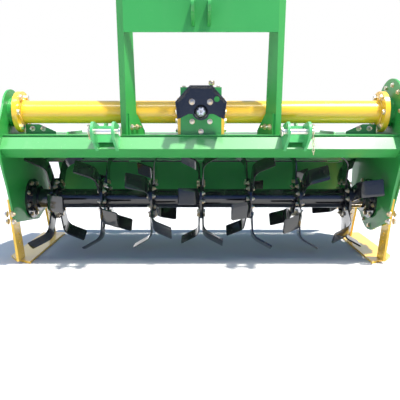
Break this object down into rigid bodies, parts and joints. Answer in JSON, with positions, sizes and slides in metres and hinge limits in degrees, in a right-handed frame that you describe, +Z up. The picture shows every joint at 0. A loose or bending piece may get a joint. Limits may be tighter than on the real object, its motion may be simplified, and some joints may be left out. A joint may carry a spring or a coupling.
{
  "type": "rotary tiller",
  "caption": "Tractor-mounted rotary tiller with a square front beam, cross tube and gearbox, side plates, bent-blade rotor and hinged trailing board.",
  "frame": {"origin": "on the ground, at the middle of the bounding box in plan", "axes": "+X to the machine's side with the chain case, +Y to the rear, +Z up; the front with the hitch faces -Y"},
  "size_m": [1.764, 0.7922, 1.092],
  "materials": {
    "green_paint": "glossy green enamel",
    "light_green_paint": "glossy light green enamel",
    "yellow_paint": "glossy yellow enamel",
    "black_paint": "glossy black enamel",
    "zinc_steel": "zinc plated and bare steel"
  },
  "bodies": {
    "frame": {"front_beam": "green_paint", "hood": "green_paint", "side_plate_left": "green_paint", "side_plate_right": "green_paint", "chain_case": "green_paint", "case_cover": "green_paint", "gearbox": "green_paint", "gearbox_lid": "green_paint", "input_cap": "black_paint", "axle_tube_left": "yellow_paint", "axle_tube_right": "yellow_paint", "end_flanges": "yellow_paint", "square_flanges": "yellow_paint", "input_shield": "black_paint", "hitch_left": "light_green_paint", "hitch_right": "light_green_paint", "hitch_bridges": "light_green_paint", "hitch_pin_left": "zinc_steel", "hitch_pin_right": "zinc_steel", "mast_leg_left": "green_paint", "mast_leg_right": "green_paint", "mast_feet": "green_paint", "mast_head": "green_paint", "mast_braces": "green_paint", "skid_left": "yellow_paint", "skid_right": "yellow_paint", "rotor_bearing_left": "black_paint", "rotor_bearing_right": "black_paint", "hinge_pin": "zinc_steel", "hood_gussets": "green_paint", "hood_ribs": "green_paint", "rod_guides": "green_paint"},
    "rotor": {"rotor_tube": "black_paint", "rotor_flanges": "black_paint", "blades_1": "black_paint", "blades_2": "black_paint", "blades_3": "black_paint", "blades_4": "black_paint", "blades_5": "black_paint", "blades_6": "black_paint", "blades_7": "black_paint"},
    "input": {"input_shaft": "zinc_steel"},
    "trailing_board": {"board": "green_paint", "board_knuckles": "green_paint", "board_lugs": "green_paint", "lug_pins": "zinc_steel"},
    "rod_left": {"rod_left": "zinc_steel"},
    "rod_right": {"rod_right": "zinc_steel"}
  },
  "joints": [
    {"name": "rotor_spin", "type": "hinge", "parent": "frame", "child": "rotor", "pos_m": [0, 0.00385, 0.264], "axis": [1, 0, 0], "continuous": true},
    {"name": "input_spin", "type": "hinge", "parent": "frame", "child": "input", "pos_m": [0, -0.29615, 0.663], "axis": [0, 1, 0], "continuous": true},
    {"name": "board_hinge", "type": "hinge", "parent": "frame", "child": "trailing_board", "pos_m": [0, 0.26585, 0.418], "axis": [1, 0, 0], "range_deg": [0, 40]},
    {"name": "rod_left_swing", "type": "hinge", "parent": "trailing_board", "child": "rod_left", "pos_m": [-0.43, 0.36889, 0.29968], "axis": [1, 0, 0], "range_deg": [-26.6, 0]},
    {"name": "rod_right_swing", "type": "hinge", "parent": "trailing_board", "child": "rod_right", "pos_m": [0.43, 0.36889, 0.29968], "axis": [1, 0, 0], "range_deg": [-26.6, 0]}
  ],
  "couplings": [
    {"joint": "input_spin", "follows": "rotor_spin", "ratio": -2.4},
    {"joint": "rod_left_swing", "follows": "board_hinge", "ratio": -0.665},
    {"joint": "rod_right_swing", "follows": "board_hinge", "ratio": -0.665}
  ]
}
